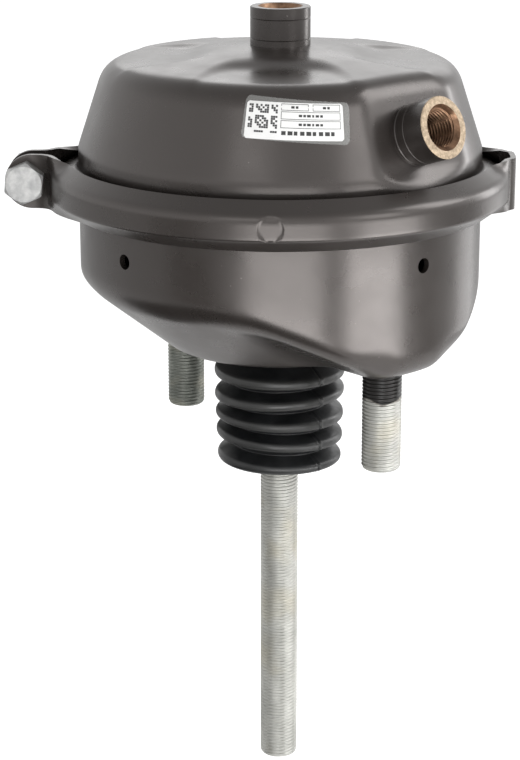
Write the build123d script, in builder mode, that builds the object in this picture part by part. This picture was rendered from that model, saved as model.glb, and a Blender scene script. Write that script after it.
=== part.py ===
from build123d import *
from math import asin, cos, degrees, hypot, radians, sin, tan
import os

os.makedirs("parts", exist_ok=True)

# Origin: centre of the mounting face. +Z runs up the axis to the pressure side and
# +X runs along the line of the two mounting studs, towards the side port.

# Pressed steel housings
sheet = 2.5                 # wall of both housings
wall_r = 81.7               # outside of the round wall
joint_z = 67.3              # mid-plane of the clamped joint
bend_r = 2.0                # inside radius of the pressed bends
flange_width = 7.3          # from the wall to the edge of both clamped flanges
flange_run = 2.0            # straight wall kept beside each flange bend
flange_slope = 8.0          # lean of both flanges towards the joint
ledge_width = 1.0           # outer edge of each flange, turned to lie against the band's leg
flange_r = wall_r + flange_width
ledge_r = flange_r - ledge_width

# Clamp band
band_t = 2.2                # band sheet
band_reach = 4.0            # from the flanges' edge to the outside of the band's face
band_face_half = 4.6        # half height of the flat face
band_leg = 7.0              # from the face to the inner edge of the sloped legs
v_angle = 37.0              # slope of the legs
band_corner_r = 1.6         # bend between face and leg
split_angle = -133.0        # where the band is split and bolted
ear_reach = 18.6            # how far the ears stand out past the face
ear_half = 11.0             # half height of the ears
ear_gap = 7.0               # space between the ears
plate_clear = 0.3           # ears and loop stay off the flanges
loop_depth = 2.5            # how far the loop stands out past the face
loop_half_width = 9.0       # half width of the loop along the band
loop_half = 10.5            # half height of the loop
loop_corner_r = 4.0
band_face_r = flange_r + band_reach
band_lip_r = band_face_r - band_leg
ear_end_r = band_face_r + ear_reach

# Clamp screw, M10
screw_r = 5.0
screw_hole_r = 5.4
screw_reach = 10.3          # from the band's face to the screw's axis
head_af = 15.0
head_t = 6.4
nut_af = 16.0
nut_t = 8.4
screw_stickout = 3.0        # thread past the nut
screw_line_r = band_face_r + screw_reach

# Pressure housing
crown_rise = 40.5           # from the cone's foot to the flat where the axial port stands
crown_flat_r = 14.0
dome_slope = 6.2            # fall of the top from the flat to the shoulder
cone_slope = 18.3           # lean of the side
cone_run = 6.2              # straight wall between the flange's bend and the cone
shoulder_r = 12.0
crown_blend_r = 60.0        # soft start of the top's fall
toe_r = 6.0                 # blend from side to wall
field_drop = 5.5            # four level fields between the raised arms, below the flat on top
field_run = 44.2            # from the wall in to a field's inner edge
field_half = 18.5           # half width of a field at its inner edge
field_spread = 42.0         # lean of a field's sides
field_wall = 70.0           # lean of a field's walls from upright
facet_depth = 3.5           # flat for the side port
facet_rise = 0.2            # from the cone's foot to the lower end of the flat
facet_blend = 18.0          # from the top into the flat
facet_lift = 0.2            # the blend starts this far above the top

# Ports, M16 x 1.5 inside
boss_r = 12.1
boss_length = 15.3
thread_bore_r = 7.2
mouth_r = 9.0               # lead-in at the mouth
spigot_r = 9.6              # locates the boss in its hole
spigot_clear = 0.05
side_port_rise = 14.55      # from the cone's foot to the side port's axis
side_port_angle = 1.8       # round the axis, from the stud line
boss_edge = 0.3

# Mounting housing
bowl_run = 36.7             # from the wall in to the base's round flat
bowl_slope = 38.3           # rise of the bowl's cone
bowl_flat_blend = 8.0
valley_blend = 12.0         # between the bowl's cone and the flanks
lobe_half = 14.0            # half width of the flat that carries each stud
lobe_slope = 27.9           # rise of the flanks beside it
lobe_blend = 12.0
lobe_corner_r = 12.0        # base to wall at each lobe
boot_hole_r = 20.0
vent_r = 3.0
vent_drop = 10.8            # from the foot of the flange down to the vents
bowl_flat_r = wall_r - bowl_run

# Studs, M16 x 1.5
stud_r = 7.9
stud_inset = 21.375         # from the wall in to a stud's axis, so that they stand 120.65 apart
stud_reach = 41.5           # below the mounting face
stud_shank_r = 8.3          # plain shank in the sheet and the plate
stud_hole_clear = 0.1
stud_spacing = 2 * (wall_r - stud_inset)
stud_head_r = 12.3
stud_head_t = 5.0
thread_chamfer = 1.4

# Plate that carries the studs inside
stud_plate_t = 4.0
stud_plate_fit = 0.2        # to the bends of the housing's floor
stud_plate_end_cut = 3.6

# Pushrod, M16 x 1.5
rod_r = 7.9
rod_low_z = -188.0
rod_shank_r = 7.5           # plain upper length, above the rolled thread
rod_thread_drop = 1.1       # from the boot's end down to the thread
hub_r = 13.5
hub_t = 9.0
fit_clear = 0.05            # hub on rod

# Push plate
push_plate_t = 3.2
push_plate_inset = 27.7     # from the wall in to the plate's edge
push_rim_drop = 8.0
push_rim_r = 6.0

# Diaphragm
rubber_t = 3.0
rubber_clear = 0.5          # to the housing's side at rest
plate_gap = 0.3             # to the push plate at rest
bead_start = 2.3            # from the wall out to the bead
bead_clear = 0.05
rubber_drop = 1.75          # top of the rubber below the inside of the fields
rubber_shoulder_r = 16.0

# Return spring
wire_r = 2.75
spring_inset = 8.5          # from the base's round flat in to the wire on the retainer
spring_top_r = 30.0         # wire centre under the push plate
spring_half_turns = 13
spring_gap = 0.3            # to the push plate

# Boot and its retainer
boot_t = 1.8
boot_lip_width = 10.5       # past the hole in the housing
boot_lip_clear = 0.5        # to the stud plate
boot_neck_clear = 0.1
crest_reach = 8.0           # outside of the first crest past the middle of the neck's wall
crest_fall = 0.3            # each fold is this much smaller than the one above
root_drop = 1.0             # roots inside the middle of the neck's wall
first_crest_z = -12.5
boot_pitch = 9.3
folds = 5
crest_half = 1.8
crest_blend = 2.2
root_blend = 1.4
boot_tail = 4.3             # from the last crest to the end
boot_grip = 7.0
boot_clear = 0.3            # to the rod
retainer_t = 2.0
retainer_margin = 3.75      # past the spring's wire
retainer_depth = 7.5        # collar inside the boot's neck
guide_clear = 0.4           # rod guide to rod
guide_length = 14.0
guide_flange = 2.0


def v_half(radius, depth):
    """Half height of the clamped joint at a radius, this deep inside the band's outside."""
    rise = (band_face_r - radius) * tan(radians(v_angle))
    return band_face_half + rise - depth / cos(radians(v_angle))


def flange_half(radius, depth):
    """Half height of the flanges inside their ledge, this deep inside their outside."""
    rise = (ledge_r - radius) * tan(radians(flange_slope))
    return v_half(ledge_r, band_t) + rise - depth / cos(radians(flange_slope))


# Heights that follow from the joint
wall_top_z = joint_z - flange_half(wall_r, 0) - bend_r - flange_run
vent_z = wall_top_z - vent_drop
crown_low_z = joint_z + flange_half(wall_r, 0) + flange_run
cone_z = crown_low_z + cone_run
crown_z = cone_z + crown_rise
side_port_z = cone_z + side_port_rise


def dome_z(radius):
    """Height of the pressure housing's top at a radius."""
    return crown_z - (radius - crown_flat_r) * tan(radians(dome_slope))


def cone_r(height):
    """Radius of the pressure housing's side at a height."""
    return wall_r - (height - cone_z) * tan(radians(cone_slope))


def radial_plane(angle, height):
    """Plane with its x pointing out at an angle, its y up and its z along the rim."""
    out = Vector(cos(radians(angle)), sin(radians(angle)), 0)
    along = Vector(-out.Y, out.X, 0)
    return Plane(origin=(0, 0, height), x_dir=out, z_dir=-along)


def export(piece, name):
    """Label a piece and write it."""
    piece.part.label = name
    export_step(piece.part, f"parts/{name}.step")


def ledge_point(depth):
    """Radius and half height of the fold between flange and ledge, this deep in the flange."""
    half_sum = radians(v_angle + flange_slope) / 2
    half_gap = radians(v_angle - flange_slope) / 2
    radius = ledge_r - depth * sin(half_sum) / cos(half_gap)
    return radius, flange_half(radius, depth)


def flange_section(side, wall_end):
    """Flange that leans into the joint, with a stub of wall; side is +1 above, -1 below."""
    inside_r = wall_r - sheet
    outer_fold_r, outer_fold_half = ledge_point(0)
    inner_fold_r, inner_fold_half = ledge_point(sheet)
    with BuildSketch(Plane.XZ) as section:
        with BuildLine():
            FilletPolyline(
                (wall_r, wall_end),
                (wall_r, joint_z + side * flange_half(wall_r, 0)),
                (outer_fold_r, joint_z + side * outer_fold_half),
                (flange_r, joint_z + side * v_half(flange_r, band_t)),
                (flange_r, joint_z + side * v_half(flange_r, band_t + sheet)),
                (inner_fold_r, joint_z + side * inner_fold_half),
                (inside_r, joint_z + side * flange_half(inside_r, sheet)),
                (inside_r, wall_end),
                radius=(bend_r, 0, 0, 0, 0, bend_r + sheet),
            )
            Line((inside_r, wall_end), (wall_r, wall_end))
        make_face()
    return section.sketch


# Mounting housing: a conical bowl joined to two lobes that carry the studs
def bowl_flat(inset):
    """Radius at which the floor meets the cone, moved in by the inset."""
    return bowl_flat_r - inset * tan(radians(bowl_slope / 2))


def lobe_flat(inset):
    """Half width at which the floor meets a lobe's flanks, moved in by the inset."""
    return lobe_half - inset * tan(radians(lobe_slope / 2))


def mounting_form(inset, top):
    """Bowl and lobes as one solid, moved in from the outside by the inset."""
    side_r = wall_r - inset
    low = inset - lobe_blend
    flat_r = bowl_flat(inset)
    flat_half = lobe_flat(inset)
    cone_end_z = inset + (wall_r - flat_r) * tan(radians(bowl_slope))
    flank_z = inset + (wall_r - flat_half) * tan(radians(lobe_slope))
    with BuildPart() as below:
        with BuildSketch(Plane.XZ):
            with BuildLine():
                FilletPolyline(
                    (0, low), (0, inset), (flat_r, inset), (wall_r, cone_end_z), (wall_r, low),
                    radius=(0, bowl_flat_blend - inset, 0),
                )
                Line((wall_r, low), (0, low))
            make_face()
        revolve(axis=Axis.Z)
        with BuildSketch(Plane.YZ):
            with BuildLine():
                FilletPolyline(
                    (-wall_r, low), (-wall_r, flank_z), (-flat_half, inset),
                    (flat_half, inset), (wall_r, flank_z), (wall_r, low),
                    radius=(0, lobe_blend - inset, lobe_blend - inset, 0),
                )
                Line((wall_r, low), (-wall_r, low))
            make_face()
        extrude(amount=wall_r, both=True, mode=Mode.INTERSECT)
    with BuildPart() as form:
        with BuildSketch(Plane.XZ):
            with BuildLine():
                FilletPolyline(
                    (0, top), (0, inset), (side_r, inset), (side_r, top),
                    radius=(0, lobe_corner_r - inset),
                )
                Line((side_r, top), (0, top))
            make_face()
        revolve(axis=Axis.Z)
        add(below.part, mode=Mode.SUBTRACT)
        valleys = form.edges().filter_by(GeomType.ELLIPSE).filter_by(
            lambda edge: hypot((edge @ 0.5).X, (edge @ 0.5).Y) < side_r - sheet)
        fillet(valleys, valley_blend + inset)
    return form.part


mounting_outside = mounting_form(0, wall_top_z)
mounting_inside = mounting_form(sheet, wall_top_z + sheet)

with BuildPart() as mounting_housing:
    add(mounting_outside)
    add(mounting_inside, mode=Mode.SUBTRACT)
    add(flange_section(-1, wall_top_z))
    revolve(axis=Axis.Z)
    with BuildSketch(Plane.XY):
        Circle(boot_hole_r)
        with GridLocations(stud_spacing, 0, 2, 1):
            Circle(stud_shank_r + stud_hole_clear)
    extrude(amount=2 * sheet, mode=Mode.SUBTRACT)
    for side in (Plane.XZ, Plane.YZ):
        with BuildSketch(side):
            with Locations((0, vent_z)):
                Circle(vent_r)
        extrude(amount=2 * wall_r, both=True, mode=Mode.SUBTRACT)
export(mounting_housing, "mounting_housing")

# Pressure housing: cone and shallow top, four level fields, a flat for the side port
field_start = wall_r - field_run
port_out = Vector(cos(radians(side_port_angle)), sin(radians(side_port_angle)), 0)
cone_out = port_out * cos(radians(cone_slope)) + Vector(0, 0, sin(radians(cone_slope)))
port_foot = port_out * cone_r(side_port_z) + Vector(0, 0, side_port_z) - cone_out * facet_depth
side_axis = Plane(origin=port_foot, x_dir=(-port_out.Y, port_out.X, 0), z_dir=cone_out)


def facet_cutter(inset, top):
    """What the flat for the side port takes off a crown moved in by the inset."""
    lean = tan(radians(cone_slope))
    fall = tan(radians(dome_slope))
    face_r = wall_r - (facet_depth + inset) / cos(radians(cone_slope))
    lifted = top + facet_lift
    edge_r = (face_r + (cone_z - lifted) * lean - crown_flat_r * fall * lean) / (1 - fall * lean)
    low = cone_z + facet_rise - inset
    low_r = face_r - (low - cone_z) * lean
    out_r = 2 * wall_r
    with BuildPart() as cutter:
        with BuildSketch(radial_plane(side_port_angle, 0)):
            with BuildLine():
                FilletPolyline(
                    (crown_flat_r, lifted), (edge_r, lifted - fall * (edge_r - crown_flat_r)),
                    (low_r, low), (out_r, low + (out_r - low_r) * lean),
                    radius=(facet_blend - inset, 0),
                )
                Polyline((out_r, low + (out_r - low_r) * lean), (out_r, 2 * top),
                         (crown_flat_r, 2 * top), (crown_flat_r, lifted))
            make_face()
        extrude(amount=wall_r, both=True)
    return cutter.part


def crown_form(inset, low):
    """Pressure housing as one solid, moved in from the outside by the inset."""
    side_r = wall_r - inset
    lean = tan(radians(cone_slope))
    fall = tan(radians(dome_slope))
    side_shift = inset / cos(radians(cone_slope)) - inset
    toe_z = cone_z - side_shift / lean
    top = crown_z - inset
    corner_r = (side_r + (toe_z - top) * lean - crown_flat_r * fall * lean) / (1 - fall * lean)
    corner_z = top - fall * (corner_r - crown_flat_r)
    with BuildPart() as form:
        with BuildSketch(Plane.XZ):
            with BuildLine():
                FilletPolyline(
                    (0, low), (side_r, low), (side_r, toe_z), (corner_r, corner_z),
                    (crown_flat_r, top), (0, top),
                    radius=(0, toe_r, shoulder_r - inset, crown_blend_r),
                )
                Line((0, top), (0, low))
            make_face()
        revolve(axis=Axis.Z)
        add(facet_cutter(inset, top), mode=Mode.SUBTRACT)
        for angle in (45, 135, 225, 315):
            out = Vector(cos(radians(angle)), sin(radians(angle)), 0)
            start = field_start - inset * tan(radians(90 - field_wall) / 2)
            widen = inset * tan(radians(90 - field_wall) / 2)
            reach = wall_r - start
            spread = field_half + widen + reach * tan(radians(field_spread))
            floor = out * start + Vector(0, 0, top - field_drop)
            with BuildSketch(Plane(origin=floor, x_dir=out, z_dir=(0, 0, 1))):
                Polygon(
                    (0, -field_half - widen), (reach, -spread), (reach, spread),
                    (0, field_half + widen), align=None,
                )
            extrude(amount=2 * field_drop, taper=-field_wall, mode=Mode.SUBTRACT)
    return form.part


crown_outside = crown_form(0, crown_low_z)
crown_inside = crown_form(sheet, crown_low_z - sheet)

with BuildPart() as pressure_housing:
    add(crown_outside)
    add(crown_inside, mode=Mode.SUBTRACT)
    add(flange_section(1, crown_low_z))
    revolve(axis=Axis.Z)
    for seat in (Plane.XY.offset(crown_z), side_axis):
        with BuildSketch(seat):
            Circle(spigot_r + spigot_clear)
        extrude(amount=-3 * sheet, mode=Mode.SUBTRACT)
export(pressure_housing, "pressure_housing")


def port_boss(seat):
    """Threaded boss that stands on a seat plane, with its spigot through the sheet."""
    with BuildPart() as boss:
        with BuildSketch(seat):
            Circle(boss_r)
        extrude(amount=boss_length)
        chamfer(boss.edges().sort_by(Axis(seat.origin, seat.z_dir))[-1], boss_edge)
        with BuildSketch(seat):
            Circle(spigot_r)
        extrude(amount=-sheet)
        with BuildSketch(seat.offset(boss_length)):
            Circle(thread_bore_r)
        extrude(amount=-boss_length - sheet, mode=Mode.SUBTRACT)
        mouth = boss.edges().filter_by(GeomType.CIRCLE).group_by(Axis(seat.origin, seat.z_dir))[-1]
        chamfer(mouth.sort_by(SortBy.RADIUS)[0], mouth_r - thread_bore_r)
    return boss


axial_port_boss = port_boss(Plane.XY.offset(crown_z))
export(axial_port_boss, "axial_port_boss")
side_port_boss = port_boss(side_axis)
export(side_port_boss, "side_port_boss")

# Clamp band: a V channel round both flanges, split between two ears, with a loop opposite
loop_angle = split_angle + 180
ear_middle = (ear_gap + band_t) / 2
split_half = degrees(asin(ear_middle / band_face_r))
loop_leg = loop_half_width - band_t / 2
loop_half_angle = degrees(asin(loop_leg / band_face_r))
channel_in_r = band_face_r - band_t
plate_in_r = flange_r + plate_clear

with BuildPart() as clamp_band:
    for start, end in (
        (split_angle + split_half, loop_angle - loop_half_angle),
        (loop_angle + loop_half_angle, split_angle + 360 - split_half),
    ):
        with BuildSketch(radial_plane(start, joint_z)):
            with BuildLine():
                FilletPolyline(
                    (band_lip_r, v_half(band_lip_r, 0)), (band_face_r, band_face_half),
                    (band_face_r, -band_face_half), (band_lip_r, -v_half(band_lip_r, 0)),
                    (band_lip_r, -v_half(band_lip_r, band_t)),
                    (channel_in_r, -v_half(channel_in_r, band_t)),
                    (channel_in_r, v_half(channel_in_r, band_t)),
                    (band_lip_r, v_half(band_lip_r, band_t)),
                    radius=(band_corner_r, band_corner_r, 0, 0, 0, 0),
                )
                Line(
                    (band_lip_r, v_half(band_lip_r, band_t)),
                    (band_lip_r, v_half(band_lip_r, 0)),
                )
            make_face()
        revolve(axis=Axis.Z, revolution_arc=end - start)
    for side in (-1, 1):
        ear_plane = radial_plane(split_angle, joint_z).offset(side * ear_middle)
        with BuildSketch(ear_plane):
            with Locations((plate_in_r, 0)):
                Rectangle(ear_end_r - ear_half - plate_in_r, 2 * ear_half,
                          align=(Align.MIN, Align.CENTER))
            with Locations((ear_end_r - ear_half, 0)):
                Circle(ear_half)
            with Locations((screw_line_r, 0)):
                Circle(screw_hole_r, mode=Mode.SUBTRACT)
        extrude(amount=band_t / 2, both=True)
    out = Vector(cos(radians(loop_angle)), sin(radians(loop_angle)), 0)
    loop_plane = Plane(origin=(0, 0, joint_z - loop_half), x_dir=out, z_dir=(0, 0, 1))
    loop_out_r = band_face_r + loop_depth
    with BuildSketch(loop_plane):
        with BuildLine():
            FilletPolyline(
                (plate_in_r, -loop_leg), (loop_out_r - band_t / 2, -loop_leg),
                (loop_out_r - band_t / 2, loop_leg), (plate_in_r, loop_leg),
                radius=loop_corner_r,
            )
        trace(line_width=band_t)
    extrude(amount=2 * loop_half)
export(clamp_band, "clamp_band")

# Clamp screw and nut
head_seat = radial_plane(split_angle, joint_z).offset(-ear_middle - band_t / 2)
nut_seat = radial_plane(split_angle, joint_z).offset(ear_middle + band_t / 2)
grip = ear_gap + 2 * band_t

with BuildPart() as clamp_screw:
    with BuildSketch(head_seat):
        with Locations((screw_line_r, 0)):
            RegularPolygon(head_af / 2, 6, major_radius=False, rotation=25)
    extrude(amount=-head_t)
    with BuildSketch(head_seat):
        with Locations((screw_line_r, 0)):
            Circle(screw_r)
    extrude(amount=grip + nut_t + screw_stickout)
export(clamp_screw, "clamp_screw")

with BuildPart() as clamp_nut:
    with BuildSketch(nut_seat):
        with Locations((screw_line_r, 0)):
            RegularPolygon(nut_af / 2, 6, major_radius=False)
            Circle(screw_r, mode=Mode.SUBTRACT)
    extrude(amount=nut_t)
export(clamp_nut, "clamp_nut")

# Plate inside the mounting housing, and the studs that it carries
floor_blend = (bowl_flat_blend - sheet) * tan(radians(bowl_slope / 2))
stud_plate_disc_r = bowl_flat(sheet) - floor_blend - stud_plate_fit
arm_blend = (lobe_blend - sheet) * tan(radians(lobe_slope / 2))
stud_plate_half = lobe_flat(sheet) - arm_blend - stud_plate_fit
stud_plate_end_r = wall_r - lobe_corner_r - stud_plate_fit + stud_plate_end_cut
boot_lip_r = boot_hole_r + boot_lip_width

with BuildPart() as stud_plate:
    with BuildSketch(Plane.XY.offset(sheet)):
        Circle(stud_plate_end_r)
        Rectangle(2 * stud_plate_end_r, 2 * stud_plate_half, mode=Mode.INTERSECT)
        Circle(stud_plate_disc_r)
        Circle(boot_lip_r + boot_lip_clear, mode=Mode.SUBTRACT)
        with GridLocations(stud_spacing, 0, 2, 1):
            Circle(stud_shank_r + stud_hole_clear, mode=Mode.SUBTRACT)
    extrude(amount=stud_plate_t)
    ends = stud_plate.edges().group_by(Axis.Z)[0].filter_by(GeomType.CIRCLE)
    chamfer(ends.filter_by(lambda edge: abs(edge.radius - stud_plate_end_r) < fit_clear),
            stud_plate_end_cut)
export(stud_plate, "stud_plate")


def stud(x):
    """Mounting stud at a place on the stud line, with its head on the stud plate."""
    with BuildPart() as piece:
        with BuildSketch(Plane.XY.offset(-stud_reach)):
            with Locations((x, 0)):
                Circle(stud_r)
        extrude(amount=stud_reach)
        chamfer(piece.edges().group_by(Axis.Z)[0], thread_chamfer)
        with BuildSketch(Plane.XY):
            with Locations((x, 0)):
                Circle(stud_shank_r)
        extrude(amount=sheet + stud_plate_t)
        with BuildSketch(Plane.XY.offset(sheet + stud_plate_t)):
            with Locations((x, 0)):
                Circle(stud_head_r)
        extrude(amount=stud_head_t)
        chamfer(piece.edges().group_by(Axis.Z)[-1], thread_chamfer)
    return piece


stud_near = stud(stud_spacing / 2)
export(stud_near, "stud_near")
stud_far = stud(-stud_spacing / 2)
export(stud_far, "stud_far")

# Diaphragm, at rest against the pressure housing: bead, side and flat middle
rubber_top_z = crown_z - field_drop - sheet - rubber_drop
side_step = facet_depth + sheet + rubber_clear


def rubber_side_r(height, depth):
    """Radius of the diaphragm's side at a height, this deep inside its outside."""
    return cone_r(height) - (side_step + depth) / cos(radians(cone_slope))


bead_in_r = wall_r + bead_start
bead_fold_r, bead_fold_half = ledge_point(sheet + bead_clear)
bead_in_half = flange_half(bead_in_r, sheet + bead_clear)
bead_edge_half = v_half(flange_r, band_t + sheet + bead_clear)
side_foot_z = joint_z + bead_in_half + bead_clear
with BuildPart() as diaphragm:
    with BuildSketch(Plane.XZ):
        with BuildLine():
            FilletPolyline(
                (flange_r, joint_z + bead_edge_half),
                (bead_fold_r, joint_z + bead_fold_half),
                (bead_in_r, joint_z + bead_in_half),
                (rubber_side_r(side_foot_z, 0), side_foot_z),
                (rubber_side_r(rubber_top_z, 0), rubber_top_z),
                (0, rubber_top_z),
                (0, rubber_top_z - rubber_t),
                (rubber_side_r(rubber_top_z - rubber_t, rubber_t), rubber_top_z - rubber_t),
                (rubber_side_r(joint_z, rubber_t), joint_z),
                (bead_in_r, joint_z - bead_in_half),
                (bead_fold_r, joint_z - bead_fold_half),
                (flange_r, joint_z - bead_edge_half),
                radius=(0, 0, 0, rubber_shoulder_r, 0, 0, rubber_shoulder_r - rubber_t, 0, 0, 0),
            )
            Line((flange_r, joint_z - bead_edge_half), (flange_r, joint_z + bead_edge_half))
        make_face()
    revolve(axis=Axis.Z)
export(diaphragm, "diaphragm")

# Boot: where its folds and its end lie
neck_r = boot_hole_r - boot_neck_clear - boot_t / 2
crest_r = neck_r + crest_reach
root_r = neck_r - root_drop
boot_end_z = first_crest_z - (folds - 1) * boot_pitch - boot_tail
lip_top_z = sheet + stud_plate_t

# Push plate, hub and rod, which move together
plate_top_z = rubber_top_z - rubber_t - plate_gap
plate_low_z = plate_top_z - push_plate_t
push_plate_r = wall_r - push_plate_inset

with BuildPart() as push_plate:
    with BuildSketch(Plane.XZ):
        with BuildLine():
            FilletPolyline(
                (0, plate_top_z), (push_plate_r, plate_top_z),
                (push_plate_r, plate_low_z - push_rim_drop),
                (push_plate_r - push_plate_t, plate_low_z - push_rim_drop),
                (push_plate_r - push_plate_t, plate_low_z), (0, plate_low_z),
                radius=(push_rim_r, 0, 0, push_rim_r - push_plate_t),
            )
            Line((0, plate_low_z), (0, plate_top_z))
        make_face()
    revolve(axis=Axis.Z)
export(push_plate, "push_plate")

with BuildPart() as rod_hub:
    with BuildSketch(Plane.XY.offset(plate_low_z - hub_t)):
        Circle(hub_r)
        Circle(rod_shank_r + fit_clear, mode=Mode.SUBTRACT)
    extrude(amount=hub_t)
    chamfer(rod_hub.edges().group_by(Axis.Z)[0].sort_by(SortBy.RADIUS)[-1], thread_chamfer)
export(rod_hub, "rod_hub")

thread_top_z = boot_end_z - boot_t / 2 - rod_thread_drop
with BuildPart() as pushrod:
    with BuildSketch(Plane.XY.offset(rod_low_z)):
        Circle(rod_r)
    extrude(amount=thread_top_z - rod_low_z)
    chamfer(pushrod.edges().group_by(Axis.Z)[0], thread_chamfer)
    with BuildSketch(Plane.XY.offset(thread_top_z)):
        Circle(rod_shank_r)
    extrude(amount=plate_low_z - thread_top_z)
export(pushrod, "pushrod")

# Boot: lip clamped inside, neck through the housing, folds, and a grip on the rod
def fold_points(index):
    """Crest and following root of one fold, along the middle of the wall."""
    middle = first_crest_z - index * boot_pitch
    crest = crest_r - index * crest_fall - boot_t / 2
    points = [(crest, middle + crest_half), (crest, middle - crest_half)]
    if index < folds - 1:
        points.append((root_r, middle - boot_pitch / 2))
    return points


boot_path = [(neck_r, lip_top_z - boot_t / 2), (neck_r, first_crest_z + boot_pitch / 2)]
boot_bends = [root_blend]
for index in range(folds):
    boot_path += fold_points(index)
    boot_bends += [crest_blend, crest_blend] + [root_blend] * (index < folds - 1)
grip_r = rod_shank_r + boot_clear + boot_t / 2
boot_path += [(grip_r, boot_end_z), (grip_r, boot_end_z + boot_grip)]
boot_bends.append(root_blend)

with BuildPart() as boot:
    with BuildSketch(Plane.XZ):
        with BuildLine():
            FilletPolyline(*boot_path, radius=boot_bends)
            offset(amount=boot_t / 2)
        make_face()
    revolve(axis=Axis.Z)
    with BuildSketch(Plane.XY.offset(sheet)):
        Circle(boot_lip_r)
        Circle(neck_r, mode=Mode.SUBTRACT)
    extrude(amount=stud_plate_t)
export(boot, "boot")

collar_r = neck_r - boot_t / 2 - boot_neck_clear
spring_low_r = bowl_flat_r - spring_inset
retainer_r = spring_low_r + wire_r + retainer_margin
with BuildPart() as boot_retainer:
    with BuildSketch(Plane.XZ):
        Polygon(
            (retainer_r, lip_top_z), (retainer_r, lip_top_z + retainer_t),
            (collar_r - retainer_t, lip_top_z + retainer_t),
            (collar_r - retainer_t, lip_top_z - retainer_depth),
            (collar_r, lip_top_z - retainer_depth), (collar_r, lip_top_z), align=None,
        )
    revolve(axis=Axis.Z)
export(boot_retainer, "boot_retainer")

guide_bore_r = rod_r + guide_clear
guide_out_r = collar_r - retainer_t - fit_clear
guide_top_z = lip_top_z + retainer_t
with BuildPart() as rod_guide:
    with BuildSketch(Plane.XZ):
        Polygon(
            (guide_bore_r, guide_top_z + guide_flange),
            (guide_out_r + guide_flange, guide_top_z + guide_flange),
            (guide_out_r + guide_flange, guide_top_z), (guide_out_r, guide_top_z),
            (guide_out_r, guide_top_z - guide_length),
            (guide_bore_r, guide_top_z - guide_length), align=None,
        )
    revolve(axis=Axis.Z)
export(rod_guide, "rod_guide")

# Return spring between the boot retainer and the push plate: half turns joined end to end,
# flat for the first and the last, so that each lies in one plane and meets the next square
spring_low_z = guide_top_z + wire_r
spring_top_z = plate_low_z - spring_gap - wire_r


def turn_end(index):
    """Middle of the wire where a half turn starts, on alternate sides of the axis."""
    share = index / spring_half_turns
    climbed = min(max(index - 1, 0), spring_half_turns - 2) / (spring_half_turns - 2)
    radius = spring_low_r + (spring_top_r - spring_low_r) * share
    height = spring_low_z + (spring_top_z - spring_low_z) * climbed
    return Vector(radius * (-1) ** index, 0, height)


with BuildPart() as return_spring:
    for index in range(spring_half_turns):
        start = turn_end(index)
        middle = (start + turn_end(index + 1)) / 2
        along = Vector(0, (-1) ** index, 0)
        with BuildSketch(Plane(origin=start, z_dir=along)):
            Circle(wire_r)
        revolve(axis=Axis(middle, (start - middle).cross(along)), revolution_arc=180)
export(return_spring, "return_spring")
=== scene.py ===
from math import acos, atan2, cos, degrees, hypot, pi, radians, sin, sqrt, tan

import bmesh
import bpy
import numpy as np
from mathutils import Matrix, Vector


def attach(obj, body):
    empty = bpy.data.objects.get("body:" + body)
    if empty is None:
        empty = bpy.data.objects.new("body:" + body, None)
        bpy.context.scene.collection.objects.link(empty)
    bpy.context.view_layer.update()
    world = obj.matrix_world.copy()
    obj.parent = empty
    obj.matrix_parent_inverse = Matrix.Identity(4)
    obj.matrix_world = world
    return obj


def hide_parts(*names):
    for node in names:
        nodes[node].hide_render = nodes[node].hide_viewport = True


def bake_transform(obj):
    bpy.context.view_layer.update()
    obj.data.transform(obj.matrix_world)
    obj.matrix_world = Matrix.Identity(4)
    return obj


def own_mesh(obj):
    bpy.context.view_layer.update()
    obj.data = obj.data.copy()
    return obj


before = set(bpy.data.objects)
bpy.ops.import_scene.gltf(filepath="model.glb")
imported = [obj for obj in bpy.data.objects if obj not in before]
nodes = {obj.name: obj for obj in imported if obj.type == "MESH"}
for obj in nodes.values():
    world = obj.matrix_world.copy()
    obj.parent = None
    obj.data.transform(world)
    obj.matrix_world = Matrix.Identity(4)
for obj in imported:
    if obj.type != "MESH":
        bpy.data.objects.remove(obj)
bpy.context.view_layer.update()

mm = 0.001
print("frame loaded")

# Sizes that several pieces share, in millimetres
shell = {
    "sheet": 2.5,
    "wallRadius": 81.7,
    "jointHeight": 67.3,
    "flangeRadius": 89.0,
    "ledge": 1.0,
    "flangeSlope": 8.0,
    "bendRadius": 2.0,
    "wallTop": 56.8,
    "crownFoot": 75.8,
    "spinSteps": 264,
}
band = {
    "thickness": 2.2,
    "faceRadius": 93.0,
    "faceHalf": 4.6,
    "legDepth": 7.0,
    "legSlope": 37.0,
    "upperCorner": 5.0,
    "lowerCorner": 1.8,
    "sectionGap": 0.9,
    "splitAngle": -133.0,
    "earEnd": 111.6,
    "earHalf": 11.0,
    "earGap": 7.0,
    "earBend": 4.5,
    "earRoot": 3.0,
    "upperFade": (-3.0, 13.0),
    "lowerFade": (-6.0, 38.0),
    "loopDepth": 2.5,
    "loopHalf": 10.5,
    "loopWidth": 8.0,
    "loopLevel": 1.0,
    "loopFade": 15.0,
    "bulgeInset": 2.0,
    "bulgeFade": 4.0,
    "markAngle": -44.75,
    "markRadius": 5.0,
    "markDepth": 0.35,
    "markEdge": 0.6,
    "markSpan": 7.0,
    "columns": (130, 44, 300),
    "smoothPasses": 24,
}


# Small helpers for outlines and meshes

def smoothStep(value):
    t = np.clip(value, 0.0, 1.0)
    return t * t * (3 - 2 * t)


def softMax(a, b, width):
    over = np.maximum(width - np.abs(a - b), 0.0) / width
    return np.maximum(a, b) + over * over * width / 4


def softWidth(radius, turn):
    # width that gives softMax a bend of this radius between faces that turn by this angle
    return 4 * radius * (1 - cos(radians(turn / 2)))


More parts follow.
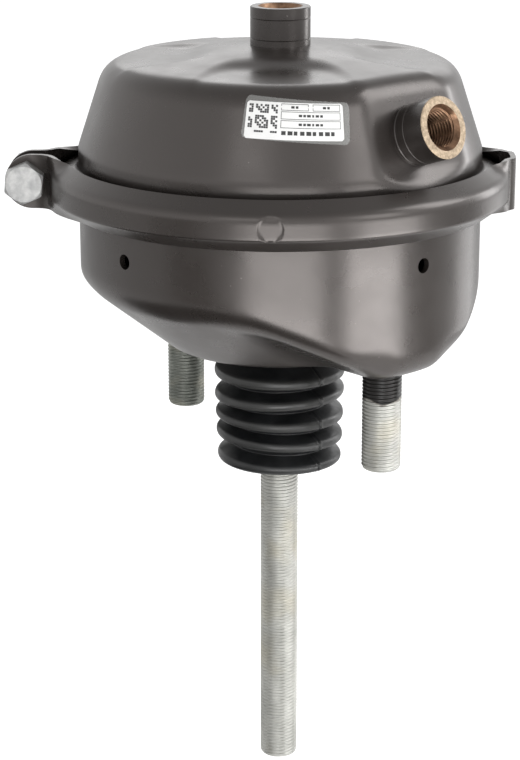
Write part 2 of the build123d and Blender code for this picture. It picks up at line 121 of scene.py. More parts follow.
def roundedPath(corners, arcSteps=6):
    # corners are (radius, height) or (radius, height, blend); each blend is an arc tangent to both sides
    path = []
    last = len(corners) - 1
    for index, corner in enumerate(corners):
        here = Vector(corner[:2])
        if len(corner) == 2 or index in (0, last):
            path.append(tuple(here))
            continue
        back = (Vector(corners[index - 1][:2]) - here).normalized()
        ahead = (Vector(corners[index + 1][:2]) - here).normalized()
        half = acos(max(-1, min(1, back.dot(ahead)))) / 2
        reach = corner[2] / tan(half)
        centre = here + (back + ahead).normalized() * corner[2] / sin(half)
        first = here + back * reach - centre
        turn = pi - 2 * half
        if back.x * ahead.y - back.y * ahead.x > 0:
            turn = -turn
        for step in range(arcSteps + 1):
            angle = turn * step / arcSteps
            spun = Vector((first.x * cos(angle) - first.y * sin(angle),
                           first.x * sin(angle) + first.y * cos(angle)))
            path.append(tuple(centre + spun))
    return path


def spacedPath(path, gap):
    # the same line, with points no further apart than the gap
    result = [path[0]]
    for start, end in zip(path, path[1:]):
        count = max(1, round(hypot(end[0] - start[0], end[1] - start[1]) / gap))
        for step in range(1, count + 1):
            share = step / count
            result.append((start[0] + (end[0] - start[0]) * share, start[1] + (end[1] - start[1]) * share))
    return result


def threadRun(radius, low, high, pitch):
    # straight run with eight points to each turn of the thread
    return spacedPath([(radius, low), (radius, high)], pitch / 8)


def spinPath(bm, path, steps, closed=False):
    verts = [bm.verts.new((radius, 0, height)) for radius, height in path]
    edges = [bm.edges.new(pair) for pair in zip(verts, verts[1:])]
    if closed:
        edges.append(bm.edges.new((verts[-1], verts[0])))
    bmesh.ops.spin(bm, geom=verts + edges, cent=(0, 0, 0), axis=(0, 0, 1), dvec=(0, 0, 0),
                   angle=2 * pi, steps=steps, use_merge=True)
    bmesh.ops.remove_doubles(bm, verts=bm.verts, dist=0.001)


def cutThread(bm, wall, groove, pitch, low, high, runOut=1.5):
    # waves a straight wall between two heights into a helical groove, which fades out at both ends
    verts = [vert for vert in bm.verts
             if low < vert.co.z < high and abs(hypot(vert.co.x, vert.co.y) - wall) < 0.01]
    place = np.array([vert.co for vert in verts])
    phase = place[:, 2] / pitch - np.arctan2(place[:, 1], place[:, 0]) / (2 * pi)
    depth = smoothStep(0.65 - 0.65 * np.cos(2 * pi * phase) - 0.15)
    depth *= smoothStep(np.minimum(place[:, 2] - low, high - place[:, 2]) / runOut)
    for vert, share in zip(verts, 1 + (groove / wall - 1) * depth):
        vert.co.x *= share
        vert.co.y *= share


def limitRadius(bm, limit):
    # limit gives the largest radius at a height
    for vert in bm.verts:
        radius = hypot(vert.co.x, vert.co.y)
        allowed = limit(vert.co.z)
        if radius > allowed:
            vert.co.x *= allowed / radius
            vert.co.y *= allowed / radius


def moveToForm(bm, centre, form, low, high):
    # slides each vertex between two heights along its ray from the centre, until it lies on the form
    verts = [vert for vert in bm.verts if low < vert.co.z < high]
    middle = np.array([0.0, 0.0, centre])
    rays = np.array([vert.co for vert in verts]) - middle
    rays /= np.linalg.norm(rays, axis=1)[:, None]
    near, far = np.zeros(len(rays)), np.full(len(rays), 160.0)
    for halving in range(40):
        reach = (near + far) / 2
        points = middle + rays * reach[:, None]
        inside = form(points[:, 0], points[:, 1], points[:, 2]) < 0
        near, far = np.where(inside, reach, near), np.where(inside, far, reach)
    for vert, point in zip(verts, middle + rays * near[:, None]):
        vert.co = point


def makePiece(bm, name, materials, sharpAngle=38.0, recalc=True):
    if recalc:
        bmesh.ops.recalc_face_normals(bm, faces=bm.faces)
    bmesh.ops.scale(bm, vec=(mm, mm, mm), verts=bm.verts)
    mesh = bpy.data.meshes.new(name)
    bm.to_mesh(mesh)
    bm.free()
    for material in materials:
        mesh.materials.append(material)
    mesh.shade_smooth()
    mesh.set_sharp_from_angle(angle=radians(sharpAngle))
    piece = bpy.data.objects.new(name, mesh)
    bpy.context.scene.collection.objects.link(piece)
    return piece


def bakeModifiers(piece, sharpAngle=38.0):
    made = bpy.data.meshes.new_from_object(piece.evaluated_get(bpy.context.evaluated_depsgraph_get()))
    piece.modifiers.clear()
    piece.data = made
    made.shade_smooth()
    made.set_sharp_from_angle(angle=radians(sharpAngle))


def thicken(piece, thickness):
    solid = piece.modifiers.new("sheet", "SOLIDIFY")
    solid.thickness = thickness * mm
    solid.offset = -1
    solid.use_even_offset = True
    bakeModifiers(piece)


def cutHoles(piece, cutters):
    bm = bmesh.new()
    for place, direction, radius, depth in cutters:
        turn = Vector((0, 0, 1)).rotation_difference(Vector(direction)).to_matrix().to_4x4()
        made = bmesh.ops.create_cone(bm, cap_ends=True, segments=40, radius1=radius, radius2=radius,
                                     depth=depth)
        bmesh.ops.transform(bm, matrix=Matrix.Translation(Vector(place)) @ turn, verts=made["verts"])
    drill = makePiece(bm, "drill", [])
    cut = piece.modifiers.new("holes", "BOOLEAN")
    cut.operation = "DIFFERENCE"
    cut.solver = "EXACT"
    cut.object = drill
    bakeModifiers(piece)
    bpy.data.objects.remove(drill)


def seat(piece, body, slotName, *replaced):
    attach(piece, body)
    if replaced:
        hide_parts(*replaced)


# Materials

def newMaterial(name, **values):
    material = bpy.data.materials.new(name)
    material.use_nodes = True
    shader = material.node_tree.nodes["Principled BSDF"]
    for socket, value in values.items():
        shader.inputs[socket.replace("_", " ")].default_value = value
    return material, material.node_tree, shader


def addNode(tree, kind, settings=None, **inputs):
    # inputs go by socket name, or by number as i0, i1 and so on
    node = tree.nodes.new("ShaderNode" + kind)
    for key, value in (settings or {}).items():
        setattr(node, key, value)
    for key, value in inputs.items():
        numbered = key[0] == "i" and key[1:].isdigit()
        socket = node.inputs[int(key[1:]) if numbered else key.replace("_", " ")]
        if isinstance(value, bpy.types.NodeSocket):
            tree.links.new(value, socket)
        else:
            socket.default_value = value
    return node


def objectNoise(tree, scale, detail=2.0, roughness=0.5, stretch=(1, 1, 1)):
    place = addNode(tree, "TexCoord").outputs["Object"]
    moved = addNode(tree, "Mapping", Vector=place, Scale=stretch)
    return addNode(tree, "TexNoise", Vector=moved.outputs["Vector"], Scale=scale, Detail=detail,
                   Roughness=roughness).outputs["Fac"]


def colourMix(tree, factor, first, second):
    node = addNode(tree, "Mix", {"data_type": "RGBA"}, i0=factor, i6=first, i7=second)
    return node.outputs[2]


def spread(tree, value, low, high, newLow=0.0, newHigh=1.0):
    return addNode(tree, "MapRange", Value=value, From_Min=low, From_Max=high, To_Min=newLow,
                   To_Max=newHigh).outputs["Result"]


def addBump(tree, shader, layers):
    # layers are (height, strength, distance in millimetres)
    normal = None
    for height, strength, distance in layers:
        inputs = {"Height": height, "Strength": strength, "Distance": distance * mm}
        if normal is not None:
            inputs["Normal"] = normal
        normal = addNode(tree, "Bump", **inputs).outputs["Normal"]
    tree.links.new(normal, shader.inputs["Normal"])


paintLook = {
    "dark": (0.0135, 0.0110, 0.0098, 1),
    "light": (0.0200, 0.0168, 0.0150, 1),
    "dust": (0.16, 0.15, 0.14, 1),
    "roughness": (0.25, 0.33),
    "cloudScale": 22.0,
    "dustScale": 900.0,
    "dustFrom": 0.80,
    "waveScale": 90.0,
    "waveDepth": 0.08,
    "peelScale": 620.0,
    "peelDepth": 0.035,
    "grainScale": 1700.0,
    "grainDepth": 0.02,
}


def makePaint():
    material, tree, shader = newMaterial("satinPaint", IOR=1.75, Specular_Tint=(1.0, 0.93, 0.90, 1))
    cloud = objectNoise(tree, paintLook["cloudScale"], 4.0)
    speck = spread(tree, objectNoise(tree, paintLook["dustScale"], 1.0), paintLook["dustFrom"], 0.84)
    base = colourMix(tree, cloud, paintLook["dark"], paintLook["light"])
    tree.links.new(colourMix(tree, speck, base, paintLook["dust"]), shader.inputs["Base Color"])
    low, high = paintLook["roughness"]
    rough = spread(tree, objectNoise(tree, 60.0, 5.0), 0.3, 0.7, low, high)
    tree.links.new(rough, shader.inputs["Roughness"])
    addBump(tree, shader, [(objectNoise(tree, paintLook["peelScale"], 2.0), 0.4, paintLook["peelDepth"]),
                           (objectNoise(tree, paintLook["grainScale"], 1.0), 0.4, paintLook["grainDepth"]),
                           (objectNoise(tree, paintLook["waveScale"], 2.0), 0.25, paintLook["waveDepth"])])
    return material


zincLook = {
    "bright": (0.56, 0.56, 0.53, 1),
    "dull": (0.42, 0.42, 0.395, 1),
    "warm": (0.50, 0.47, 0.38, 1),
    "farBright": (0.33, 0.34, 0.31, 1),
    "farDull": (0.17, 0.18, 0.16, 1),
    "rust": (0.14, 0.11, 0.085, 1),
    "overspray": (0.010, 0.009, 0.008, 1),
    "sprayFrom": -12.0,
    "sprayRagged": 2.2,
    "roughness": (0.42, 0.62),
    "streakScale": 140.0,
    "stainScale": 60.0,
    "fineScale": 1400.0,
}


def makeZinc(name, bright, dull, paintFrom=None):
    # paintFrom is the height above which the thread is painted
    material, tree, shader = newMaterial(name, Metallic=0.85)
    streak = objectNoise(tree, zincLook["streakScale"], 4.0, stretch=(1, 1, 0.5))
    stain = objectNoise(tree, zincLook["stainScale"], 2.0)
    fine = objectNoise(tree, zincLook["fineScale"], 2.0)
    base = colourMix(tree, spread(tree, streak, 0.35, 0.7), dull, bright)
    base = colourMix(tree, spread(tree, stain, 0.5, 0.7, 0, 0.5), base, zincLook["warm"])
    low, high = zincLook["roughness"]
    rough = spread(tree, fine, 0.3, 0.7, low, high)
    if paintFrom is not None:
        place = addNode(tree, "TexCoord").outputs["Object"]
        height = addNode(tree, "SeparateXYZ", Vector=place).outputs["Z"]
        reach = zincLook["sprayRagged"] * mm
        ragged = spread(tree, objectNoise(tree, 90.0, 4.0), 0.3, 0.7, -reach, reach)
        edge = addNode(tree, "Math", {"operation": "ADD"}, i0=height, i1=ragged).outputs[0]
        rust = spread(tree, edge, (paintFrom - 0.8) * mm, (paintFrom - 0.1) * mm, 0, 0.6)
        paint = spread(tree, edge, (paintFrom - 0.1) * mm, (paintFrom + 0.5) * mm)
        base = colourMix(tree, rust, base, zincLook["rust"])
        base = colourMix(tree, paint, base, zincLook["overspray"])
        covered = spread(tree, paint, 0, 1, 0, 0.8)
        metal = addNode(tree, "Math", {"operation": "SUBTRACT"}, i0=0.85, i1=covered)
        tree.links.new(metal.outputs[0], shader.inputs["Metallic"])
        rough = addNode(tree, "Mix", i0=paint, i2=rough, i3=0.34).outputs[0]
    tree.links.new(base, shader.inputs["Base Color"])
    tree.links.new(rough, shader.inputs["Roughness"])
    addBump(tree, shader, [(fine, 0.3, 0.03)])
    return material


def makeBlotched(name, light, dark, scale, metallic, roughness):
    material, tree, shader = newMaterial(name, Metallic=metallic)
    blotch = objectNoise(tree, scale, 5.0, 0.65)
    base = colourMix(tree, spread(tree, blotch, 0.32, 0.68), dark, light)
    tree.links.new(base, shader.inputs["Base Color"])
    tree.links.new(spread(tree, objectNoise(tree, scale * 3, 3.0), 0.3, 0.7, *roughness),
                   shader.inputs["Roughness"])
    addBump(tree, shader, [(objectNoise(tree, 1500.0, 2.0), 0.3, 0.03)])
    return material


rubberLook = {
    "deep": (0.0055, 0.006, 0.0065, 1),
    "dusty": (0.020, 0.021, 0.022, 1),
    "rim": (0.028, 0.028, 0.027, 1),
    "rimFrom": 25.4,
    "rimWidth": 1.6,
    "roughness": (0.30, 0.50),
    "smearScale": 70.0,
    "grainScale": 500.0,
}


def makeRubber():
    material, tree, shader = newMaterial("bootRubber", IOR=1.5)
    smear = objectNoise(tree, rubberLook["smearScale"], 5.0, 0.6, stretch=(1, 1, 2))
    valley = colourMix(tree, spread(tree, smear, 0.42, 0.8), rubberLook["deep"], rubberLook["dusty"])
    place = addNode(tree, "TexCoord").outputs["Object"]
    flat = addNode(tree, "VectorMath", {"operation": "MULTIPLY"}, i0=place, i1=(1, 1, 0)).outputs[0]
    radius = addNode(tree, "VectorMath", {"operation": "LENGTH"}, i0=flat).outputs["Value"]
    rim = rubberLook["rimFrom"]
    worn = spread(tree, radius, rim * mm, (rim + rubberLook["rimWidth"]) * mm)
    tree.links.new(colourMix(tree, worn, valley, rubberLook["rim"]), shader.inputs["Base Color"])
    low, high = rubberLook["roughness"]
    tree.links.new(spread(tree, objectNoise(tree, 120.0, 4.0), 0.35, 0.65, low, high),
                   shader.inputs["Roughness"])
    addBump(tree, shader, [(objectNoise(tree, rubberLook["grainScale"], 3.0), 0.25, 0.06)])
    return material


satinPaint = makePaint()
rodZinc = makeZinc("rodZinc", zincLook["bright"], zincLook["dull"])
farStudZinc = makeZinc("farStudZinc", zincLook["farBright"], zincLook["farDull"])
nearStudZinc = makeZinc("nearStudZinc", zincLook["bright"], zincLook["dull"], zincLook["sprayFrom"])
blotchLooks = {  # light and dark colour, blotch scale, metallic, roughness
    "screwZinc": ((0.56, 0.56, 0.55, 1), (0.36, 0.36, 0.36, 1), 240.0, 0.75, (0.38, 0.55)),
    "portFace": ((0.56, 0.44, 0.31, 1), (0.24, 0.18, 0.12, 1), 800.0, 0.45, (0.45, 0.62)),
    "portThread": ((0.34, 0.20, 0.12, 1), (0.11, 0.06, 0.035, 1), 260.0, 0.75, (0.3, 0.5)),
    "innerSteel": ((0.40, 0.39, 0.37, 1), (0.24, 0.23, 0.22, 1), 60.0, 0.8, (0.4, 0.65)),
    "springCoat": ((0.06, 0.06, 0.065, 1), (0.03, 0.03, 0.034, 1), 90.0, 0.2, (0.4, 0.65)),
    "guidePlastic": ((0.74, 0.72, 0.64, 1), (0.66, 0.63, 0.55, 1), 70.0, 0.0, (0.4, 0.65)),
}
screwZinc, portFace, portThread, innerSteel, springCoat, guidePlastic = [
    makeBlotched(name, *look) for name, look in blotchLooks.items()]
bootRubber = makeRubber()
print("materials made")

# Flange that both housings have; side is +1 above the joint and -1 below it

def jointHalf(radius, depth):
    rise = (band["faceRadius"] - radius) * tan(radians(band["legSlope"]))
    return band["faceHalf"] + rise - depth / cos(radians(band["legSlope"]))


def flangeCorners(side):
    wall, tip = shell["wallRadius"], shell["flangeRadius"]
    fold = tip - shell["ledge"]
    foldHalf = jointHalf(fold, band["thickness"])
    wallHalf = foldHalf + (fold - wall) * tan(radians(shell["flangeSlope"]))
    ends = [(wall, wallHalf), (fold, foldHalf), (tip, jointHalf(tip, band["thickness"]))]
    return [(radius, shell["jointHeight"] + side * half, shell["bendRadius"]) for radius, half in ends]


# Pressure housing: cone side, shallow top, four sunk fields and a flat for the side port

crown = {
    "top": 122.5,
    "flatRadius": 14.0,
    "topSlope": 6.2,
    "coneSlope": 18.3,
    "coneFoot": 82.0,
    "shoulder": 12.0,
    "toe": 6.0,
    "facetDepth": 3.5,
    "facetShoulder": 10.0,
    "facetFoot": 1.8,
    "facetEdge": 1.2,
    "facetFade": 8.0,
    "edgeLeast": 0.02,
    "edgeSpan": 12.0,
    "portHeight": 96.55,
    "portAngle": 1.8,
    "fieldLevel": 117.5,
    "fieldTilt": 2.0,
    "fieldStart": 37.5,
    "fieldSlope": 20.0,
    "fieldHalf": 22.4,
    "fieldSpread": 21.0,
    "fieldWall": 38.0,
    "fieldBlend": 1.6,
    "fieldCorner": 6.0,
    "domeBlend": 1.2,
    "pathGap": 1.6,
    "rayCentre": 84.0,
}
coneLean = radians(crown["coneSlope"])
portTurn = radians(crown["portAngle"])
portOut = Vector((cos(coneLean) * cos(portTurn), cos(coneLean) * sin(portTurn), sin(coneLean)))


def coneRadius(height):
    return shell["wallRadius"] - (height - crown["coneFoot"]) * tan(coneLean)


def rimPoint(radius, angle, height):
    return Vector((radius * cos(angle), radius * sin(angle), height))


facetPoint = rimPoint(coneRadius(crown["portHeight"]), portTurn, crown["portHeight"])
facetPoint -= portOut * crown["facetDepth"]


def fieldHeight(x, y):
    # level floor of a sunk field, with one long slope at its inner end and a steeper one at each side
    angle = np.mod(np.arctan2(y, x), pi / 2) - pi / 4
    radius = np.hypot(x, y)
    along, across = radius * np.cos(angle), np.abs(radius * np.sin(angle))
    inner = (crown["fieldStart"] - along) * tan(radians(crown["fieldSlope"]))
    half = crown["fieldHalf"] + (along - crown["fieldStart"]) * tan(radians(crown["fieldSpread"]))
    side = (across - half) * tan(radians(crown["fieldWall"]))
    floor = (crown["fieldStart"] - along) * tan(radians(crown["fieldTilt"]))
    walls = softMax(inner, side, crown["fieldCorner"])
    return crown["fieldLevel"] + softMax(walls, floor, crown["fieldBlend"])


def crownForm(x, y, z):
    # below zero inside the housing; x, y and z are arrays in millimetres
    radius = np.hypot(x, y)
    wall = radius - shell["wallRadius"]
    cone = (radius - coneRadius(z)) * cos(coneLean)
    side = softMax(wall, cone, softWidth(crown["toe"], crown["coneSlope"]))
    fade = 1 - smoothStep((z - shell["crownFoot"]) / crown["facetFade"])
    facet = (x - facetPoint.x) * portOut.x + (y - facetPoint.y) * portOut.y + (z - facetPoint.z) * portOut.z
    facet = facet - fade * crown["facetFoot"]
    lean = radians(crown["topSlope"])
    dome = crown["top"] - np.maximum(radius - crown["flatRadius"], 0) * tan(lean)
    cap = softMax(z - dome, z - fieldHeight(x, y), crown["domeBlend"]) * cos(lean)
    turn = 90 - crown["coneSlope"] - crown["topSlope"]
    body = softMax(side, cap, softWidth(crown["shoulder"], turn))
    cut = softMax(facet, cap, softWidth(crown["facetShoulder"], turn))
    onSide = smoothStep((side - cap) / crown["edgeSpan"] + 0.5)
    return softMax(body, cut, crown["edgeLeast"] + crown["facetEdge"] * onSide)


def makeCrown():
    top = crown["top"]
    wall = shell["wallRadius"]
    corners = [(0, top), (wall, top), (wall, shell["crownFoot"])]
    bm = bmesh.new()
    path = spacedPath(corners, crown["pathGap"]) + roundedPath([corners[-1]] + flangeCorners(1))[1:]
    spinPath(bm, path, shell["spinSteps"])
    moveToForm(bm, crown["rayCentre"], crownForm, shell["crownFoot"] + 0.01, 200)
    piece = makePiece(bm, "pressureHousing", [satinPaint])
    thicken(piece, shell["sheet"])
    seat(piece, "housing", "housing_paint", "pressure_housing")
    print("pressure housing:", len(piece.data.polygons), "faces")


# Mounting housing: a conical bowl joined to two lobes that carry the studs

bowl = {
    "flatRadius": 45.0,
    "slope": 38.3,
    "lobeHalf": 14.0,
    "lobeSlope": 27.9,
    "floorBlend": 2.0,
    "valleyBlend": 4.5,
    "creaseBlend": 6.5,
    "lobeBlend": 14.0,
    "lobeFade": 22.0,
    "bootHole": 20.0,
    "ventRadius": 3.0,
    "ventHeight": 46.0,
    "ventDepth": 20,
    "pathGap": 1.5,
    "rayCentre": 50.0,
}


def bowlForm(x, y, z):
    radius = np.hypot(x, y)
    slope, flankSlope = radians(bowl["slope"]), radians(bowl["lobeSlope"])
    wall = radius - shell["wallRadius"]
    cone = ((radius - bowl["flatRadius"]) * tan(slope) - z) * cos(slope)
    flank = ((np.abs(y) - bowl["lobeHalf"]) * tan(flankSlope) - z) * cos(flankSlope)
    under = -softMax(-cone, -flank, bowl["valleyBlend"])
    under = softMax(under, -z, bowl["floorBlend"])
    lobe = 1 - smoothStep((np.abs(y) - bowl["lobeHalf"]) / bowl["lobeFade"])
    blend = bowl["creaseBlend"] + (bowl["lobeBlend"] - bowl["creaseBlend"]) * lobe
    return softMax(under, wall, blend)


def makeBowl():
    wall = shell["wallRadius"]
    corners = [(bowl["bootHole"], 0), (wall, 0), (wall, shell["wallTop"])]
    bm = bmesh.new()
    path = spacedPath(corners, bowl["pathGap"]) + roundedPath([corners[-1]] + flangeCorners(-1))[1:]
    spinPath(bm, path, shell["spinSteps"])
    moveToForm(bm, bowl["rayCentre"], bowlForm, -1, shell["wallTop"] - 0.01)
    piece = makePiece(bm, "mountingHousing", [satinPaint])
    thicken(piece, shell["sheet"])
    height, radius, depth = bowl["ventHeight"], bowl["ventRadius"], bowl["ventDepth"]
    cutHoles(piece, [((wall * x, wall * y, height), (x, y, 0), radius, depth)
                     for x, y in ((1, 0), (0, 1), (-1, 0), (0, -1))])
    seat(piece, "housing", "housing_paint", "mounting_housing")
    print("mounting housing:", len(piece.data.polygons), "faces")


# Clamp band: one strip from ear to ear, a V channel that flattens into the ears and into the loop

def bandPath():
    # plan line of the strip's outside from one ear's end to the other
    face, gap = band["faceRadius"], band["earGap"] / 2 + band["thickness"]
    bend = band["earBend"]
    centre = Vector((sqrt((face + bend) ** 2 - (gap + bend) ** 2), gap + bend))
    touch = atan2(centre.y, centre.x)
    tip = band["earEnd"] - band["earHalf"]
    rounded = band["earEnd"] - band["earHalf"] * (1 - np.cos(np.linspace(0, pi / 2, 16)))
    places = [Vector((radius, gap)) for radius in [*rounded, *np.linspace(tip, centre.x, 8)[1:-1]]]
    places += [centre + Vector((cos(angle), sin(angle))) * bend
               for angle in np.linspace(-pi / 2, touch - pi, 9)]
    ear = places[:]
    markAngle = radians(band["markAngle"] - band["splitAngle"])
    fine = band["markSpan"] / face
    before, around, after = band["columns"]
    angles = np.concatenate([np.linspace(touch, markAngle - fine, before)[1:],
                             np.linspace(markAngle - fine, markAngle + fine, around)[1:],
                             np.linspace(markAngle + fine, 2 * pi - touch, after)[1:-1]])
    places += [Vector((cos(angle), sin(angle))) * face for angle in angles]
    places += [Vector((place.x, -place.y)) for place in reversed(ear)]
    for smoothing in range(band["smoothPasses"]):
        middle = [back * 0.25 + here * 0.5 + ahead * 0.25
                  for back, here, ahead in zip(places, places[1:], places[2:])]
        places = [places[0]] + middle + [places[-1]]
    return places


def makeBand():
    places = bandPath()
    travel = np.concatenate([[0.0], np.cumsum([(b - a).length for a, b in zip(places, places[1:])])])
    total = travel[-1]
    half, lip = band["faceHalf"], band["legDepth"]
    tall = half + lip * tan(radians(band["legSlope"]))
    section = [(lip, -tall), (0, -half, band["lowerCorner"]), (0, half, band["upperCorner"]), (lip, tall)]
    section = spacedPath(roundedPath(section), band["sectionGap"])
    loopTravel = total / 2
    turn = Matrix.Rotation(radians(band["splitAngle"]), 3, "Z")
    bendEnd = band["earEnd"] - band["faceRadius"] + band["earRoot"]
    bm = bmesh.new()
    made = bmesh.ops.create_grid(bm, x_segments=len(places) - 1, y_segments=len(section) - 1, size=1)
    columns = {}
    for vert in made["verts"]:
        columns.setdefault(round(vert.co.x, 6), []).append(vert)
    for index, key in enumerate(sorted(columns)):
        place = places[index]
        run = places[min(index + 1, len(places) - 1)] - places[max(index - 1, 0)]
        normal = Vector((run.y, -run.x)).normalized()
        fromEnd = min(travel[index], total - travel[index])
        fromLoop = abs(travel[index] - loopTravel)
        ears = [1 - float(smoothStep((fromEnd - bendEnd - start) / (end - start)))
                for start, end in (band["lowerFade"], band["upperFade"])]
        pastLoop = fromLoop - band["loopWidth"]
        loop = 1 - float(smoothStep((pastLoop - band["loopLevel"]) / band["loopFade"]))
        sunk = float(smoothStep((pastLoop + band["bulgeInset"]) / band["bulgeFade"]))
        bulge = band["loopDepth"] * (1 - sunk)
        plateHalf = band["earHalf"] if ears[0] > loop else band["loopHalf"]
        rounding = max(band["earHalf"] - fromEnd, 0) / band["earHalf"]
        trim = sqrt(max(1 - rounding ** 2, 0.0004))
        angle = atan2(place.y, place.x) % (2 * pi)
        across = (angle - radians(band["markAngle"] - band["splitAngle"])) * band["faceRadius"]
        for vert, (depth, height) in zip(sorted(columns[key], key=lambda item: item.co.y), section):
            share = height / tall
            flat = max(ears[height > 0], loop)
            level = height * (1 - flat) + share * plateHalf * flat
            inward = depth * (1 - flat) - bulge
            if band["faceHalf"] > abs(height):
                ring = hypot(across, height) - band["markRadius"] + 0.5
                inward += band["markDepth"] * (1 - float(smoothStep(ring / band["markEdge"])))
            point = place - normal * inward
            vert.co = turn @ Vector((point.x, point.y, level * trim))
            vert.co.z += shell["jointHeight"]
    bmesh.ops.remove_doubles(bm, verts=bm.verts, dist=0.005)
    piece = makePiece(bm, "clampBand", [satinPaint], recalc=False)
    outward = piece.data.polygons[len(piece.data.polygons) // 2]
    if outward.normal.dot(Vector((outward.center.x, outward.center.y, 0))) < 0:
        piece.data.flip_normals()
    thicken(piece, band["thickness"])
    seat(piece, "housing", "housing_paint", "clamp_band")
    print("clamp band:", len(piece.data.polygons), "faces")


# Clamp screw and nut

screw = {
    "radius": 5.0,
    "root": 4.35,
    "pitch": 1.5,
    "lineRadius": 103.3,
    "headFlats": 15.0,
    "headHeight": 6.4,
    "headTurn": 36.9,
    "nutFlats": 16.0,
    "nutHeight": 8.4,
    "stickOut": 3.0,
    "endRound": 0.9,
    "steps": 40,
}


def hexPrism(bm, flats, height, low, turn, bothEnds):
    # a ring drawn out to a hexagon and extruded, its corners cut by a shallow cone at one end or both
    inner = flats / 2 * 0.97

    def shapeRing(verts, cut, level, side):
        for vert in verts:
            angle = atan2(vert.co.y, vert.co.x)
            corner = flats / 2 / cos((angle - radians(turn)) % (pi / 3) - pi / 6)
            radius = inner if cut else corner
            drop = side * (radius - inner) * tan(pi / 6)
            vert.co = (radius * cos(angle), radius * sin(angle), low + level - drop)

    ring = bmesh.ops.create_circle(bm, cap_ends=False, segments=72, radius=1)["verts"]
    edges = list({edge for vert in ring for edge in vert.link_edges})
    stages = [(False, height, 1), (True, height, 0)]
    shapeRing(ring, bothEnds, 0, 0)
    bmesh.ops.contextual_create(bm, geom=edges)
    for stage in ([(False, 0, -1)] if bothEnds else []) + stages:
        made = bmesh.ops.extrude_edge_only(bm, edges=edges)["geom"]
        ring = {item for item in made if isinstance(item, bmesh.types.BMVert)}
        edges = [item for item in made
                 if isinstance(item, bmesh.types.BMEdge) and ring.issuperset(item.verts)]
        shapeRing(ring, *stage)
    bmesh.ops.contextual_create(bm, geom=edges)


def makeScrew():
    split = radians(band["splitAngle"])
    out = Vector((cos(split), sin(split), 0))
    along = Vector((-out.y, out.x, 0))
    place = Matrix((out, Vector((0, 0, -1)), along)).transposed().to_4x4()
    place.translation = out * screw["lineRadius"] + Vector((0, 0, shell["jointHeight"]))
    seatHeight = band["earGap"] / 2 + band["thickness"]
    end, radius = -seatHeight - screw["nutHeight"] - screw["stickOut"], screw["radius"]
    bm = bmesh.new()
    shank = threadRun(radius, end, seatHeight + 1, screw["pitch"])
    spinPath(bm, [(0, end)] + shank + [(0, seatHeight + 1)], screw["steps"])
    cutThread(bm, radius, screw["root"], screw["pitch"], end - 1, seatHeight + 2)
    limitRadius(bm, lambda height: radius - max(0.0, screw["endRound"] - (height - end)))
    hexPrism(bm, screw["headFlats"], screw["headHeight"], seatHeight, -screw["headTurn"], False)
    bmesh.ops.transform(bm, matrix=place, verts=bm.verts)
    seat(makePiece(bm, "clampScrew", [screwZinc], 28.0), "housing", "screw_zinc", "clamp_screw")
    bm = bmesh.new()
    hexPrism(bm, screw["nutFlats"], screw["nutHeight"], -seatHeight - screw["nutHeight"], 0, True)
    bmesh.ops.transform(bm, matrix=place, verts=bm.verts)
    seat(makePiece(bm, "clampNut", [screwZinc], 28.0), "housing", "screw_zinc", "clamp_nut")
    print("clamp screw and nut made")


# Port bosses with their inside threads

port = {
    "radius": 12.1,
    "length": 15.3,
    "edge": 0.3,
    "mouth": 9.0,
    "bore": 7.2,
    "root": 8.0,
    "pitch": 1.5,
    "spigot": 9.6,
    "grooves": ((10.8, 0.22), (2.6, 0.22)),
    "sideGrooves": ((5.4, 0.2), (1.2, 0.3)),
    "threadLow": 0.8,
    "steps": 120,
}


def makeBoss(name, place, grooves, faceMaterial, replaced):
    top, low, radius, lead = port["length"], -shell["sheet"], port["radius"], port["mouth"] - port["bore"]
    corners = [(port["spigot"], low), (port["spigot"], 0), (radius, 0)]
    for height, depth in sorted(grooves):
        corners += [(radius, height - depth), (radius - depth, height), (radius, height + depth)]
    corners += [(radius, top - port["edge"]), (radius - port["edge"], top), (port["mouth"], top)]
    bore = threadRun(port["bore"], low + port["threadLow"], top - lead, port["pitch"])
    corners += bore[::-1] + [(port["root"], low)]
    bm = bmesh.new()
    spinPath(bm, corners, port["steps"], closed=True)
    cutThread(bm, port["bore"], port["root"], port["pitch"], low, top, 1.0)
    for face in bm.faces:
        centre = face.calc_center_median()
        if hypot(centre.x, centre.y) < port["mouth"] - 0.1:
            face.material_index = 2
        elif centre.z > top - port["edge"]:
            face.material_index = 1
    bmesh.ops.transform(bm, matrix=place, verts=bm.verts)
    seat(makePiece(bm, name, [satinPaint, faceMaterial, portThread]), "housing", "port_steel", replaced)


def makePorts():
    upright = Matrix.Translation((0, 0, crown["top"]))
    makeBoss("axialPortBoss", upright, port["grooves"], satinPaint, "axial_port_boss")
    turn = Vector((0, 0, 1)).rotation_difference(portOut).to_matrix().to_4x4()
    leaning = Matrix.Translation(facetPoint) @ turn
    makeBoss("sidePortBoss", leaning, port["sideGrooves"], portFace, "side_port_boss")
    print("port bosses made")


# Threaded studs and pushrod

thread = {
    "crest": 7.9,
    "root": 7.3,
    "pitch": 1.5,
    "steps": 48,
    "endRound": 2.2,
}
studs = {
    "spacing": 120.65,
    "reach": 41.5,
    "headRadius": 12.3,
    "headHeight": 5.0,
    "shank": 8.3,
    "shankTop": 6.5,
}
rod = {
    "end": -188.0,
    "threadTop": -56.0,
    "shank": 7.5,
    "top": 106.25,
}


